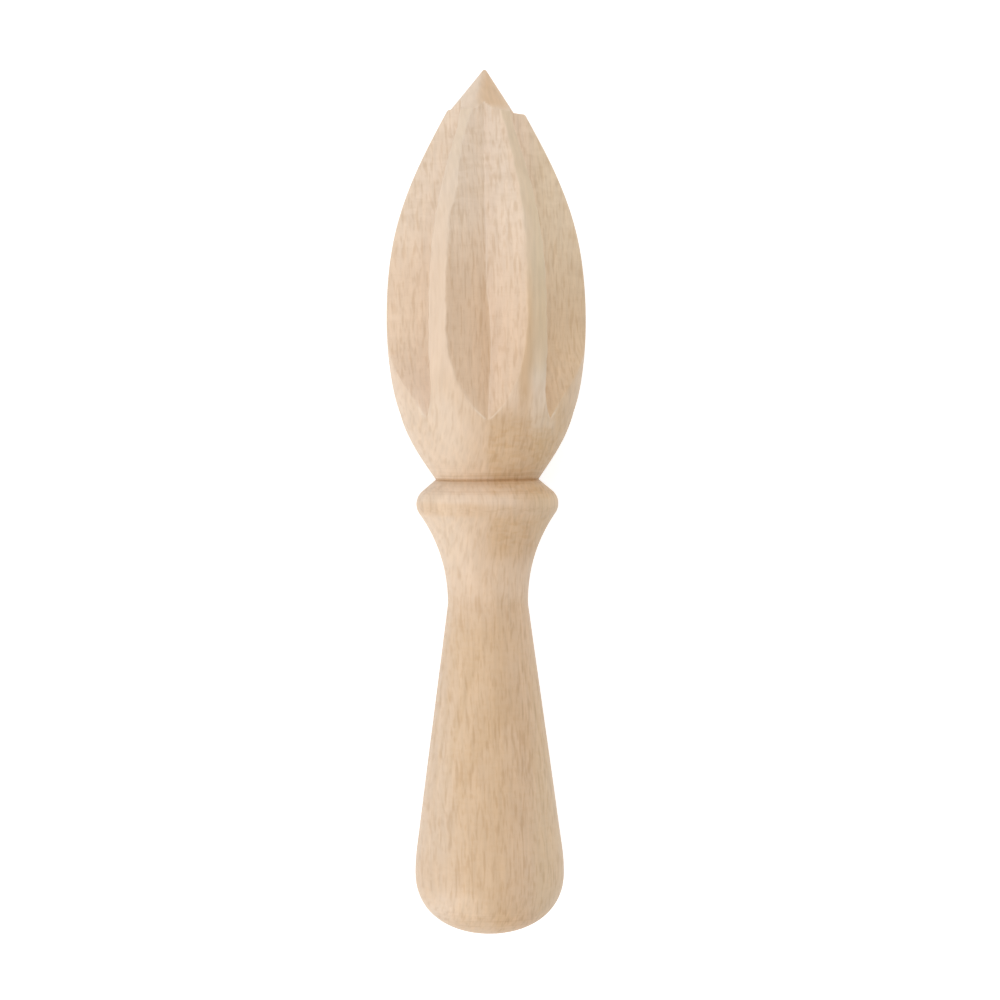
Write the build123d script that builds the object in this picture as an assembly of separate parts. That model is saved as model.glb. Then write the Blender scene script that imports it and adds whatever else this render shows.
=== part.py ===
from build123d import *
import os
from math import acos, asin, atan2, cos, degrees, hypot, radians, sin, sqrt, tan

# Citrus reamer turned from one blank of beech, in millimetres.
# It is first modelled upright on its turning axis, with the butt's end at height zero, and
# then laid down as it rests on a table: on two ribs of the head and on the butt's widest ring.

# Butt, the rounded end that sits in the palm
butt_radius = 14.64
butt_height = 12.0
butt_end_handle_share = 0.54
butt_side_handle_share = 0.66

# Handle, a straight taper from the butt to the neck
handle_length = 53.55
swell_radius = 40.0
neck_radius = 7.89
neck_round_radius = 8.0

# Collar, a cove that runs out into a bead
cove_radius = 30.0
collar_radius = 13.98
bead_radius = 3.3

# Groove between the collar and the head
groove_radius = 10.1
groove_wall_angle = 50.0

# Head, from the groove to the shoulder below the point
head_length = 72.05
head_radius = 19.56
shoulder_radius = 7.6
head_base_angle = 34.0
head_top_angle = 28.5
# Share of the head's length above the groove, then share of its largest radius
head_shares = [
    (0.078, 0.706),
    (0.160, 0.851),
    (0.268, 0.953),
    (0.460, 1.000),
    (0.679, 0.903),
    (0.843, 0.686),
]
widest_station = 3

# Flutes, V-shaped cuts along the head with pointed lower ends
flute_count = 6
flute_angle = 120.0
flute_half_width_angle = 24.9
flute_stop = 30.4
flute_runout_radius = 50.0

# Point, a cone that leans a little to one side of the head's axis
point_length = 8.35
point_base_radius = 6.3
point_tip_radius = 0.5
point_lean = 4.6
point_lean_bearing = 40.0

# How far a cutting form reaches past the surface that it cuts
overrun = 3.0


def slope(angle):
    """Direction in an outline that rises by the angle from the turning axis."""
    return Vector(sin(radians(angle)), cos(radians(angle)))


def taper_angle():
    """Angle of the taper, the common tangent of the swell's arc and the neck's arc."""
    radii = swell_radius + neck_round_radius
    rise = radii - (butt_radius - neck_radius)
    straight = sqrt(handle_length**2 + rise**2 - radii**2)
    return degrees(atan2(radii, straight) - atan2(rise, handle_length))


def butt_outline():
    """Full round end, from the turning axis to the widest ring."""
    return Bezier(
        (0, 0),
        (butt_end_handle_share * butt_radius, 0),
        (butt_radius, butt_height - butt_side_handle_share * butt_height),
        (butt_radius, butt_height),
    )


def handle_outline():
    """Swell, straight taper and neck, whose last point has the smallest radius."""
    turn = taper_angle()
    neck_height = butt_height + handle_length
    swell = JernArc((butt_radius, butt_height), slope(0), swell_radius, turn)
    neck_start = (
        neck_radius + neck_round_radius * (1 - cos(radians(turn))),
        neck_height - neck_round_radius * sin(radians(turn)),
    )
    neck = JernArc(neck_start, slope(-turn), neck_round_radius, -turn)
    return [swell, Line(swell @ 1, neck_start), neck]


def collar_outline(start):
    """Cove from the neck, the bead it flows into, and the lower wall of the groove."""
    radii = cove_radius + bead_radius
    turn = degrees(acos(1 - (collar_radius - neck_radius) / radii))
    cove = JernArc(start, slope(0), cove_radius, -turn)
    bead = JernArc(cove @ 1, slope(turn), bead_radius, turn + groove_wall_angle)
    wall_height = ((bead @ 1).X - groove_radius) / tan(radians(groove_wall_angle))
    return [cove, bead, Line(bead @ 1, (groove_radius, (bead @ 1).Y + wall_height))]


def head_point(station, groove_height, radius_share=1.0):
    """Place of one station of the head, or of a curve at a share of its radius."""
    along, out = head_shares[station]
    return (radius_share * out * head_radius, groove_height + along * head_length)


def head_curve(points, start_angle, groove_height, radius_share=1.0):
    """Curve through the points and on to the shoulder, then straight on past it."""
    top_rise = radius_share * tan(radians(head_top_angle))
    top_angle = -degrees(atan2(top_rise, 1))
    shoulder = (radius_share * shoulder_radius, groove_height + head_length)
    curve = Spline(
        *points, shoulder, tangents=[slope(start_angle), slope(top_angle)]
    )
    past = (shoulder[0] - overrun * top_rise, shoulder[1] + overrun)
    return [curve, Line(shoulder, past)]


def blank():
    """The turned wood before its flutes are cut, with the head running on past the shoulder."""
    handle = handle_outline()
    collar = collar_outline(handle[-1] @ 1)
    groove = collar[-1] @ 1
    stations = [head_point(i, groove.Y) for i in range(len(head_shares))]
    head = head_curve([groove, *stations], head_base_angle, groove.Y)
    outline = [butt_outline(), *handle, *collar, *head]
    top = head[-1] @ 1
    closing = Polyline(top, (0, top.Y), (0, 0))
    section = make_face([*outline, closing])
    return revolve(Plane.XZ * section, Axis.Z), groove.Y


def flute(groove_height):
    """Cutting form of one flute, on the side of the head that faces +X."""
    half_width = radians(flute_half_width_angle)
    flank = radians(flute_angle / 2)
    valley_share = cos(half_width) - sin(half_width) / tan(flank)
    valley_radius = valley_share * head_radius
    outer_radius = head_radius + overrun
    widest = head_point(widest_station, groove_height, valley_share)
    foot = (valley_radius, groove_height + flute_stop)
    reach = acos(1 - (outer_radius - valley_radius) / flute_runout_radius)
    runout = JernArc(foot, slope(180), flute_runout_radius, degrees(reach))
    upper = range(widest_station, len(head_shares))
    points = [head_point(i, groove_height, valley_share) for i in upper]
    valley = head_curve(points, 0, groove_height, valley_share)
    top = valley[-1] @ 1
    closing = Polyline(top, (outer_radius, top.Y), runout @ 1)
    section = Plane.XZ * make_face([runout, Line(foot, widest), *valley, closing])
    halves = [
        extrude(section, head_radius, dir=(cos(flank), side * sin(flank), 0))
        for side in (1, -1)
    ]
    return halves[0] + halves[1]


def point():
    """Cone with a rounded tip, standing on its base at the origin."""
    tip_centre = point_length - point_tip_radius
    slant = hypot(point_base_radius, tip_centre)
    half_angle = degrees(atan2(point_base_radius, tip_centre) - asin(point_tip_radius / slant))
    side_end = (
        point_tip_radius * cos(radians(half_angle)),
        tip_centre + point_tip_radius * sin(radians(half_angle)),
    )
    side = Line((point_base_radius, 0), side_end)
    tip = JernArc(side_end, slope(-half_angle), point_tip_radius, 90 - half_angle)
    closing = Polyline(tip @ 1, (0, 0), (point_base_radius, 0))
    return revolve(Plane.XZ * make_face([side, tip, closing]), Axis.Z)


def reamer():
    """The finished reamer, upright, with one flute facing -Y."""
    wood, groove_height = blank()
    one_flute = flute(groove_height)
    for i in range(flute_count):
        wood -= Rot(0, 0, -90 + i * 360 / flute_count) * one_flute
    bearing = radians(point_lean_bearing)
    lean = radians(point_lean)
    point_axis = Vector(sin(lean) * cos(bearing), sin(lean) * sin(bearing), cos(lean))
    tip = Vector(0, 0, groove_height + head_length + point_length * cos(lean))
    shoulder = Plane(origin=tip - point_axis * point_length, z_dir=point_axis)
    wood = split(wood, bisect_by=shoulder, keep=Keep.BOTTOM)
    return wood + shoulder * point(), groove_height


def laid_down(upright, groove_height):
    """Rests the reamer on the plane z = 0, tip towards +Y, over the middle of its box."""
    rib_drop = head_radius * cos(radians(flute_half_width_angle))
    widest = groove_height + head_shares[widest_station][0] * head_length
    incline = degrees(atan2(rib_drop - butt_radius, widest - butt_height))
    lying = Rot(incline - 90, 0, 0) * upright
    box = lying.bounding_box()
    return Pos(-box.center().X, -box.center().Y, -box.min.Z) * lying


os.makedirs("parts", exist_ok=True)
export_step(laid_down(*reamer()), "parts/reamer.step")
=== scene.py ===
import math

import bpy
import numpy as np
from mathutils import Matrix, Vector


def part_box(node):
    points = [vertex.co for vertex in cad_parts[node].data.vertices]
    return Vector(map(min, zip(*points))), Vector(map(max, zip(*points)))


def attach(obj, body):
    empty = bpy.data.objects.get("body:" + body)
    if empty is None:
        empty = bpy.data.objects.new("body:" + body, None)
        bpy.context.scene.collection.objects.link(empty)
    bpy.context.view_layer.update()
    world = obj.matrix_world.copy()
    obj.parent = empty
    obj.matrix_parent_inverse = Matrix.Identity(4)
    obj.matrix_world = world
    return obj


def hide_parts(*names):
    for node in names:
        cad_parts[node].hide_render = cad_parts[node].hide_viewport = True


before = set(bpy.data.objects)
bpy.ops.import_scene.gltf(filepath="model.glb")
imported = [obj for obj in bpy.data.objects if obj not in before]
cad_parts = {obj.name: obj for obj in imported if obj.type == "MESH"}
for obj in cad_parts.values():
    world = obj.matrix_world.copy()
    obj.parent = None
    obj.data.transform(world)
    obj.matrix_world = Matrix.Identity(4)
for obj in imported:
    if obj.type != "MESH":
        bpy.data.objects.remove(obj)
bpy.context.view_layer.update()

# A wooden citrus reamer that lies on a table, photographed from straight above.
# The wood is modelled on its turning axis, in millimetres: x and y across, s along it from the
# butt's end. The side that faces up when it lies is the one towards -y.
MM = 0.001
FRONT_ANGLE = -math.pi / 2

# Turned outline, as in the CAD part
BUTT_RADIUS = 14.64
BUTT_HEIGHT = 12.0
BUTT_END_HANDLE_SHARE = 0.54
BUTT_SIDE_HANDLE_SHARE = 0.66
HANDLE_LENGTH = 53.55
SWELL_RADIUS = 40.0
NECK_RADIUS = 7.89
NECK_ROUND_RADIUS = 8.0
COVE_RADIUS = 30.0
COLLAR_RADIUS = 13.98
BEAD_RADIUS = 3.3
GROOVE_RADIUS = 10.1
GROOVE_WALL_ANGLE = math.radians(50.0)
HEAD_LENGTH = 72.05
HEAD_RADIUS = 19.56
SHOULDER_RADIUS = 7.6
HEAD_BASE_ANGLE = math.radians(34.0)
HEAD_TOP_ANGLE = math.radians(28.5)
# Share of the head's length above the groove, then share of its largest radius
HEAD_SHARES = [
    (0.078, 0.706), (0.160, 0.851), (0.268, 0.953),
    (0.460, 1.000), (0.679, 0.903), (0.843, 0.686),
]
WIDEST_STATION = 3

# Flutes and point, as in the CAD part
FLUTE_COUNT = 6
FLUTE_PITCH = 2 * math.pi / FLUTE_COUNT
FLANK_ANGLE = math.radians(60.0)
FLUTE_HALF_WIDTH = math.radians(24.9)
FLUTE_STOP = 30.4
FLUTE_RUNOUT_RADIUS = 50.0
POINT_LENGTH = 8.35
POINT_BASE_RADIUS = 6.3
POINT_TIP_RADIUS = 0.5
POINT_LEAN = math.radians(4.6)
POINT_LEAN_BEARING = math.radians(40.0)

# Roundness that cutting and sanding leave: along the flutes' edges beside the ribs and at the
# run-outs, in the valleys as a share of their distance from the axis, and at the shoulder's corner
RIB_EDGE = 0.20
RUNOUT_EDGE = 0.10
VALLEY_ROUND = 0.012
CORNER = 0.32
# How far the cutter has lifted where it leaves the flutes at the shoulder, over what length, and
# how much more it lifts with each millimetre past the shoulder
TOP_LIFT = 0.50
TOP_LIFT_LENGTH = 4.0
LIFT_PAST_SHOULDER = 0.3
# A flank that opens less than this is out of reach
LEAST_SPREAD = 0.05

# Cutter's wander: where along the head, as shares of its length, the front flute's valley turns
# by how many degrees, and by how many degrees its left and right flank are flatter
WANDER_SHARES = (0.15, 0.26, 0.37, 0.46, 0.51, 0.59, 0.67, 0.72, 0.75, 0.79, 0.83, 0.88, 0.95, 1.0)
WANDER_TURN = (0.5, 2.4, 4.2, 3.0, 0.9, 0.2, 0.6, -0.3, -0.9, -0.5, -0.3, -1.5, -1.8, -1.5)
WANDER_LEFT = (0.0, 3.3, 5.2, 2.5, -0.2, -1.6, -1.1, -1.2, -6.0, -7.3, -4.3, -5.0, -5.0, -4.0)
WANDER_RIGHT = (0.0, -5.5, -10.0, -5.5, -2.5, -0.4, -0.3, 1.8, 3.3, 3.4, 2.8, 4.6, 6.0, 10.2)
# The other flutes' turn in degrees and the depth of each in millimetres, front one first
FLUTE_TURN = (0.0, 2.4, -0.9, 0.7, -1.2, 0.8)
FLUTE_DEPTH = (-0.10, 0.10, -0.08, 0.05, 0.12, -0.06)
# The two flutes beside the front one turn towards it at their feet: by how much, at which shares
# of the head's length that starts, is largest and ends, and each flute's sense of turn
FOOT_TURN = math.radians(15.0)
FOOT_TURN_SHARES = (0.06, 0.18, 0.40)
FOOT_SIDE = (0, -1, 0, 0, 0, 1)
# By how many degrees their left and right flank are steeper there, for each sense of turn, and by
# how many millimetres they end higher than the others
FOOT_STEEPER = {0: (0.0, 0.0), -1: (14.0, 22.0), 1: (16.0, 14.0)}
FOOT_RAISE = 0.8
# Rounding in millimetres that each flute's foot has more than its upper part, how far above the
# groove it starts, and over what length it grows
FOOT_SOFTNESS = (0.0, 0.0, 0.0, 0.1, 0.2, 0.5)
FOOT_SOFT_TOP = 21.0
FOOT_SOFT_LENGTH = 6.0
# Waver of every flank and its length, and the seeds from which left and right flanks count on
FLANK_WAVER = math.radians(0.7)
FLANK_WAVER_LENGTH = 5.2
FLANK_SEEDS = (1, 9)
# Unevenness of the turned handle, as a share of its radius, its length and seed, and the radius
# up to which it grows from nothing on the butt's end
TURNING_WAVER = 0.0012
TURNING_WAVER_LENGTH = 31.0
TURNING_WAVER_RADIUS = 6.0
TURNING_SEED = 3
# Waves that make up a waver: their height, their turns in its length, and their shift by the seed
WAVES = ((0.5, 1.0, 2.1), (0.3, 1.73, 5.3), (0.2, 2.91, 3.7))

# Painted light on each flute's left and right flank beside its valley: a pale painted highlight
# (above 0) or a brown painted shade (below 0), and how much of that is gone at its edge
LEFT_FLANK_LIGHT = (-0.15, 0.2, 0.5, -0.3, 0.3, 0.45)
RIGHT_FLANK_LIGHT = (0.95, -0.15, -0.4, 0.4, -0.2, 0.3)
FLANK_FADE = (0.5, 0.4, 0.5, 0.3, 0.5, 0.1)
# Painted highlight: how much paler the turned feet are on their left flank, for each sense of turn
FOOT_HIGHLIGHT = {0: 0.0, -1: 0.0, 1: 0.5}
# Painted light on the rib to the left of each flute, a pale highlight or a brown shade, at shares
# of the head's length, how far above the groove that starts, and over what length
TONE_SHARES = (0.20, 0.32, 0.45, 0.64, 0.77, 0.88, 1.0)
RIB_LIGHTS = (
    (-0.1, 0.6, 0.75, 0.55, 0.0, -0.4, -0.4),
    (0.65, 0.5, 0.0, -0.45, -0.85, -0.85, -0.85),
    (0.2, 0.3, 0.3, 0.2, 0.1, 0.0, -0.2),
    (0.4, 0.4, 0.2, 0.1, 0.2, 0.3, 0.2),
    (0.1, -0.1, -0.2, -0.2, 0.0, 0.1, -0.1),
    (0.4, 0.5, 0.5, 0.4, 0.3, 0.1, 0.0),
)
RIB_TONE_START = 10.5
RIB_TONE_LENGTH = 7.0
# Depth of cut from which the wood looks fluted, on the head and on the point's foot
FLUTED_DEPTH = 0.2
POINT_FLUTED_DEPTH = 0.1
# Painted highlight along a flute's rim: its width, the share of that where the flute is narrow,
# and the shares of a full flute's width at which the rim shows and at which it is as wide as it
# gets
RIM_WIDTH = 0.25
RIM_NARROW_SHARE = 0.3
RIM_SHOWN_WIDTH = 0.1
RIM_FULL_WIDTH = 0.5
# The rim fades to a share of itself up to this far above the groove, over this length
RIM_TOP = 15.5
RIM_FADE_LENGTH = 3.0
RIM_ABOVE_FOOT = 0.1
# What each point of the mesh holds: how far it lies in a flute, how near the rim of the flute's
# foot it is, and its painted light: a pale painted highlight above 0, a brown painted shade below
# 0
SHARE_NAMES = ("fluted", "edge", "painted_light")

# Mesh rows along each part of the outline, and points on the head's curve
BUTT_ROWS = 34
SWELL_ROWS = 8
TAPER_ROWS = 30
NECK_ROWS = 6
COVE_ROWS = 22
BEAD_ROWS = 22
WALL_ROWS = 8
CONE_ROWS = 26
TIP_ROWS = 6
HEAD_CURVE_POINTS = 900
# Mesh rows over the shoulder: shares of the way round its corner, and from there to the point
CORNER_ROWS = (0.2, 0.4, 0.6, 0.8, 1.0)
SHOULDER_ROWS = (0.33, 0.67)
# The corner takes at most this share of the way to the point
CORNER_SHARE = 0.4
# Length below the shoulder in which rows begin to lean with it, and rounds to find its corner
LEANING_LENGTH = 6.0
CORNER_ROUNDS = 8
# Mesh columns: shares of the way from a flute's valley to its edge, and on to the rib's middle
FLANK_COLUMNS = (0.02, 0.06, 0.14, 0.25, 0.36, 0.47, 0.58, 0.69, 0.79, 0.88, 0.94, 0.975, 1.0)
RIB_COLUMNS = (0.08, 0.24, 0.55)
# Least angle between a valley and its edge columns, and the length below the flutes over which
# these spread to a full flute's width
LEAST_EDGE = math.radians(2.2)
SPREAD_LENGTH = 9.0
# Edges of the mesh that are steeper than this stay sharp
SHARP_ANGLE = math.radians(38.0)

# Camera: millimetres to a pixel at the turning axis, and the axis's place in the photograph
PHOTO_SIDE_PX = 1000
SCALE = 0.1968
BUTT_END_PX = 934.0
AXIS_MIDDLE_PX = 487.35
AXIS_LEAN = math.radians(0.36)
CAMERA_DISTANCE = 0.80
SENSOR_MM = 36.0

# Light: the level of the surroundings, each soft lamp's place, size and radiance, and the spot
# that the lamps face
WORLD_LEVEL = 0.77
LAMPS = [
    ("key_left", (-0.68, -0.52, 0.45), 0.55, 3.3),
    ("top_right", (0.20, 0.80, 0.58), 0.60, 1.8),
]
LAMP_TARGET = Vector((0, 0.01, 0.017))
FLOOR_REACH = 3
FLOOR_COLOUR = 0.76
FLOOR_GLOW = 0.58


def bezier(points, count):
    """Points along a cubic curve."""
    t = np.linspace(0, 1, count)[:, None]
    weights = ((1 - t) ** 3, 3 * (1 - t) ** 2 * t, 3 * (1 - t) * t**2, t**3)
    return sum(w * np.array(p, float) for w, p in zip(weights, points))


def arc(start, heading, radius, turn, count):
    """Arc in the outline's plane (s, r) that leaves start at an angle to the axis and turns."""
    side = math.copysign(1, turn)
    centre = np.array(start) + radius * side * np.array((-math.sin(heading), math.cos(heading)))
    angles = heading + np.linspace(0, turn, count)
    around = np.stack((np.sin(angles), -np.cos(angles)), axis=1)
    return centre + radius * side * around


def solve_slopes(points, steps, start_angle, end_angle):
    """Slopes at the points for which the curve's bend has no jump."""
    n = len(points)
    system = np.zeros((n, n))
    right = np.zeros((n, 2))
    system[0, 0] = system[-1, -1] = 1
    right[0] = math.cos(start_angle), math.sin(start_angle)
    right[-1] = math.cos(end_angle), math.sin(end_angle)
    for i in range(1, n - 1):
        before, after = steps[i - 1], steps[i]
        system[i, i - 1 : i + 2] = after, 2 * (before + after), before
        rise_before = (points[i] - points[i - 1]) * after / before
        rise_after = (points[i + 1] - points[i]) * before / after
        right[i] = 3 * (rise_before + rise_after)
    return np.linalg.solve(system, right)


def curve_through(points, start_angle, end_angle, count):
    """Smooth curve through points of the outline, with its slope given at both ends."""
    points = np.array(points, float)
    steps = np.linalg.norm(np.diff(points, axis=0), axis=1)
    knots = np.concatenate(([0], np.cumsum(steps)))
    slopes = solve_slopes(points, steps, start_angle, end_angle)
    at = np.linspace(0, knots[-1], count)
    span = np.clip(np.searchsorted(knots, at, side="right") - 1, 0, len(steps) - 1)
    h = steps[span][:, None]
    t = (at - knots[span])[:, None] / h
    return (
        points[span] * (2 * t**3 - 3 * t**2 + 1)
        + points[span + 1] * (3 * t**2 - 2 * t**3)
        + slopes[span] * h * (t**3 - 2 * t**2 + t)
        + slopes[span + 1] * h * (t**3 - t**2)
    )


def handle_outline():
    """Outline (s, r) from the butt's end to the bottom of the groove."""
    butt_points = [
        (0, 0),
        (0, BUTT_END_HANDLE_SHARE * BUTT_RADIUS),
        (BUTT_HEIGHT * (1 - BUTT_SIDE_HANDLE_SHARE), BUTT_RADIUS),
        (BUTT_HEIGHT, BUTT_RADIUS),
    ]
    butt = bezier(butt_points, BUTT_ROWS)
    radii = SWELL_RADIUS + NECK_ROUND_RADIUS
    rise = radii - (BUTT_RADIUS - NECK_RADIUS)
    straight = math.sqrt(HANDLE_LENGTH**2 + rise**2 - radii**2)
    taper = math.atan2(radii, straight) - math.atan2(rise, HANDLE_LENGTH)
    swell = arc(butt[-1], 0, SWELL_RADIUS, -taper, SWELL_ROWS)
    neck_start = (
        BUTT_HEIGHT + HANDLE_LENGTH - NECK_ROUND_RADIUS * math.sin(taper),
        NECK_RADIUS + NECK_ROUND_RADIUS * (1 - math.cos(taper)),
    )
    straight_part = np.linspace(swell[-1], neck_start, TAPER_ROWS)
    neck = arc(neck_start, -taper, NECK_ROUND_RADIUS, taper, NECK_ROWS)
    turn = math.acos(1 - (COLLAR_RADIUS - NECK_RADIUS) / (COVE_RADIUS + BEAD_RADIUS))
    cove = arc(neck[-1], 0, COVE_RADIUS, turn, COVE_ROWS)
    bead = arc(cove[-1], turn, BEAD_RADIUS, -turn - GROOVE_WALL_ANGLE, BEAD_ROWS)
    wall_length = (bead[-1][1] - GROOVE_RADIUS) / math.tan(GROOVE_WALL_ANGLE)
    groove = (bead[-1][0] + wall_length, GROOVE_RADIUS)
    wall = np.linspace(bead[-1], groove, WALL_ROWS)
    parts = [butt, swell, straight_part, neck, cove, bead]
    return np.concatenate([*[part[:-1] for part in parts], wall])


HANDLE = handle_outline()
GROOVE_S = HANDLE[-1][0]
SHOULDER_S = GROOVE_S + HEAD_LENGTH
WIDEST_S = GROOVE_S + HEAD_SHARES[WIDEST_STATION][0] * HEAD_LENGTH
FLUTE_FOOT_S = GROOVE_S + FLUTE_STOP
TIP_S = SHOULDER_S + POINT_LENGTH * math.cos(POINT_LEAN)
HEAD_STATIONS = [(GROOVE_S + a * HEAD_LENGTH, r * HEAD_RADIUS) for a, r in HEAD_SHARES]
HEAD_CURVE = curve_through(
    [HANDLE[-1], *HEAD_STATIONS, (SHOULDER_S, SHOULDER_RADIUS)],
    HEAD_BASE_ANGLE,
    -HEAD_TOP_ANGLE,
    HEAD_CURVE_POINTS,
)
# Where each stretch of mesh rows on the head starts, and the distance between its rows
HEAD_STRETCHES = (
    (GROOVE_S, 0.30),
    (GROOVE_S + 3, 0.35),
    (GROOVE_S + 9, 0.22),
    (FLUTE_FOOT_S, 0.34),
    (SHOULDER_S - 6, 0.30),
)


def ease(x):
    """Smooth step from 0 to 1."""
    x = np.clip(x, 0, 1)
    return x * x * (3 - 2 * x)


def between(first, last, share):
    """Value at a share of the way from a first one to a last one."""
    return first + (last - first) * share


def waver(s, seed, length):
    """Slow uneven wander along the axis, from -1 to 1."""
    turns = 2 * math.pi * s / length
    return sum(height * np.sin(rate * turns + shift * seed) for height, rate, shift in WAVES)


def head_share(s):
    """Height on the head as a share of its length."""
    return (s - GROOVE_S) / HEAD_LENGTH


def head_radius(s):
    """Radius of the head before its flutes are cut."""
    past = np.maximum(s - SHOULDER_S, 0) * math.tan(HEAD_TOP_ANGLE)
    return np.interp(s, HEAD_CURVE[:, 0], HEAD_CURVE[:, 1]) - past


def valley_radius(s, foot_s):
    """Distance from the axis to the bottom of a flute, which runs out in an arc below its foot."""
    share = math.cos(FLUTE_HALF_WIDTH) - math.sin(FLUTE_HALF_WIDTH) / math.tan(FLANK_ANGLE)
    below = np.clip(foot_s - s, 0, FLUTE_RUNOUT_RADIUS)
    lift = FLUTE_RUNOUT_RADIUS - np.sqrt(FLUTE_RUNOUT_RADIUS**2 - below**2)
    return share * head_radius(np.maximum(s, WIDEST_S)) + lift


def foot_share(s):
    """1 where the side flutes' feet turn the most, and 0 above and below."""
    share = head_share(s)
    low, middle, high = FOOT_TURN_SHARES
    return ease((high - share) / (high - middle)) * ease((share - low) / (middle - low))


def flute_cut(s, flute):
    """Valley's radius and turn, and the angle of its left and right flank, at each s."""
    exit_lift = TOP_LIFT * ease((s - SHOULDER_S) / TOP_LIFT_LENGTH + 1)
    exit_lift += LIFT_PAST_SHOULDER * np.maximum(s - SHOULDER_S, 0)
    side = FOOT_SIDE[flute]
    foot_s = FLUTE_FOOT_S + FOOT_RAISE * abs(side)
    valley = valley_radius(s, foot_s) - FLUTE_DEPTH[flute] + exit_lift
    foot = foot_share(s)
    turn = math.radians(FLUTE_TURN[flute]) + side * FOOT_TURN * foot
    flanks = [
        FLANK_ANGLE + FLANK_WAVER * waver(s, flute + seed, FLANK_WAVER_LENGTH) - steeper * foot
        for seed, steeper in zip(FLANK_SEEDS, np.radians(FOOT_STEEPER[side]))
    ]
    if flute == 0:
        turn, *flatter = (
            np.radians(np.interp(head_share(s), WANDER_SHARES, degrees))
            for degrees in (WANDER_TURN, WANDER_LEFT, WANDER_RIGHT)
        )
        flanks = [flank + more for flank, more in zip(flanks, flatter)]
    return valley, turn, *flanks


def edge_angle(flank, share):
    """Angle from the valley to the flute's edge, where the valley is at a share of the radius."""
    return flank - np.arcsin(np.minimum(share, 1) * np.sin(flank))


def cut_and_outer(s, angle, flute):
    """Radii of the flanks and of the uncut head at an angle, and the share of a flute's width."""
    outer = head_radius(s)
    valley, turn, left, right = flute_cut(s, flute)
    across = angle - turn
    flank = np.where(across < 0, left, right)
    size = np.sqrt(np.sin(across) ** 2 + VALLEY_ROUND**2) - VALLEY_ROUND / 2
    spread = np.cos(across) - size / np.tan(flank)
    cut = valley / np.maximum(spread, LEAST_SPREAD)
    return cut, outer, edge_angle(FLANK_ANGLE, valley / outer) / FLUTE_HALF_WIDTH


def flank_painted_light(s, angle, flute):
    """Painted light on a flute's flank at an angle from the flute's middle: highlight above 0,
    shade below.
    """
    valley, turn, left, right = flute_cut(s, flute)
    across = angle - turn
    edge = edge_angle(np.where(across < 0, left, right), valley / head_radius(s))
    out = np.clip(np.abs(across) / np.maximum(edge, LEAST_EDGE), 0, 1)
    beside_valley = np.where(across < 0, LEFT_FLANK_LIGHT[flute], RIGHT_FLANK_LIGHT[flute])
    foot = np.where(across < 0, FOOT_HIGHLIGHT[FOOT_SIDE[flute]] * foot_share(s), 0)
    return beside_valley * (1 - FLANK_FADE[flute] * out) + foot


def rib_painted_light(s, angle, flute):
    """Painted light on the rib that lies on that side of a flute's valley."""
    left = np.interp(head_share(s), TONE_SHARES, RIB_LIGHTS[flute])
    right = np.interp(head_share(s), TONE_SHARES, RIB_LIGHTS[(flute + 1) % FLUTE_COUNT])
    return np.where(angle < flute_cut(s, flute)[1], left, right)


def fluted_radius(s, angle, flute):
    """Radius of the head at an angle from a flute's middle, with the flute cut."""
    cut, outer, width = cut_and_outer(s, angle, flute)
    foot = FOOT_SOFTNESS[flute] * ease((GROOVE_S + FOOT_SOFT_TOP - s) / FOOT_SOFT_LENGTH)
    soft = between(RUNOUT_EDGE, RIB_EDGE, ease(width)) + foot
    mix = np.clip(0.5 + 0.5 * (cut - outer) / soft, 0, 1)
    return cut * (1 - mix) + outer * mix - soft * mix * (1 - mix)


def flute_edges(s, flute):
    """Angles from a flute's middle of its left edge, its valley and its right edge, at each s."""
    valley, turn, left, right = flute_cut(s, flute)
    share = valley / head_radius(s)
    end_s = s[np.argmax(edge_angle(FLANK_ANGLE, share) > LEAST_EDGE)]
    least = between(LEAST_EDGE, FLUTE_HALF_WIDTH, ease((end_s - s) / SPREAD_LENGTH))
    left_edge = turn - np.maximum(edge_angle(left, share), least)
    right_edge = turn + np.maximum(edge_angle(right, share), least)
    return left_edge, turn, right_edge


def flute_columns(s, flute):
    """Angles from a flute's middle of the mesh columns across it and its half ribs, at each s."""
    left_edge, turn, right_edge = flute_edges(s, flute)
    edge_before = flute_edges(s, (flute - 1) % FLUTE_COUNT)[2] - FLUTE_PITCH
    edge_after = flute_edges(s, (flute + 1) % FLUTE_COUNT)[0] + FLUTE_PITCH
    rib_before = (edge_before + left_edge) / 2
    rib_after = (right_edge + edge_after) / 2
    rib_left = [between(left_edge, rib_before, t) for t in reversed(RIB_COLUMNS)]
    flank_left = [between(turn, left_edge, t) for t in reversed(FLANK_COLUMNS)]
    flank_right = [between(turn, right_edge, t) for t in FLANK_COLUMNS]
    rib_right = [between(right_edge, rib_after, t) for t in RIB_COLUMNS]
    whole = [*rib_left, *flank_left, turn, *flank_right, *rib_right, rib_after]
    return np.stack(whole, axis=1)


def point_frame():
    """Centre of the point's base and its directions: two across and one along its axis."""
    aside, bearing = math.sin(POINT_LEAN), POINT_LEAN_BEARING
    along = np.array((aside * math.cos(bearing), aside * math.sin(bearing), math.cos(POINT_LEAN)))
    base = np.array((0, 0, TIP_S)) - POINT_LENGTH * along
    across = np.array((1.0, 0, 0)) - along[0] * along
    across /= np.linalg.norm(across)
    return base, across, np.cross(along, across), along


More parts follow.
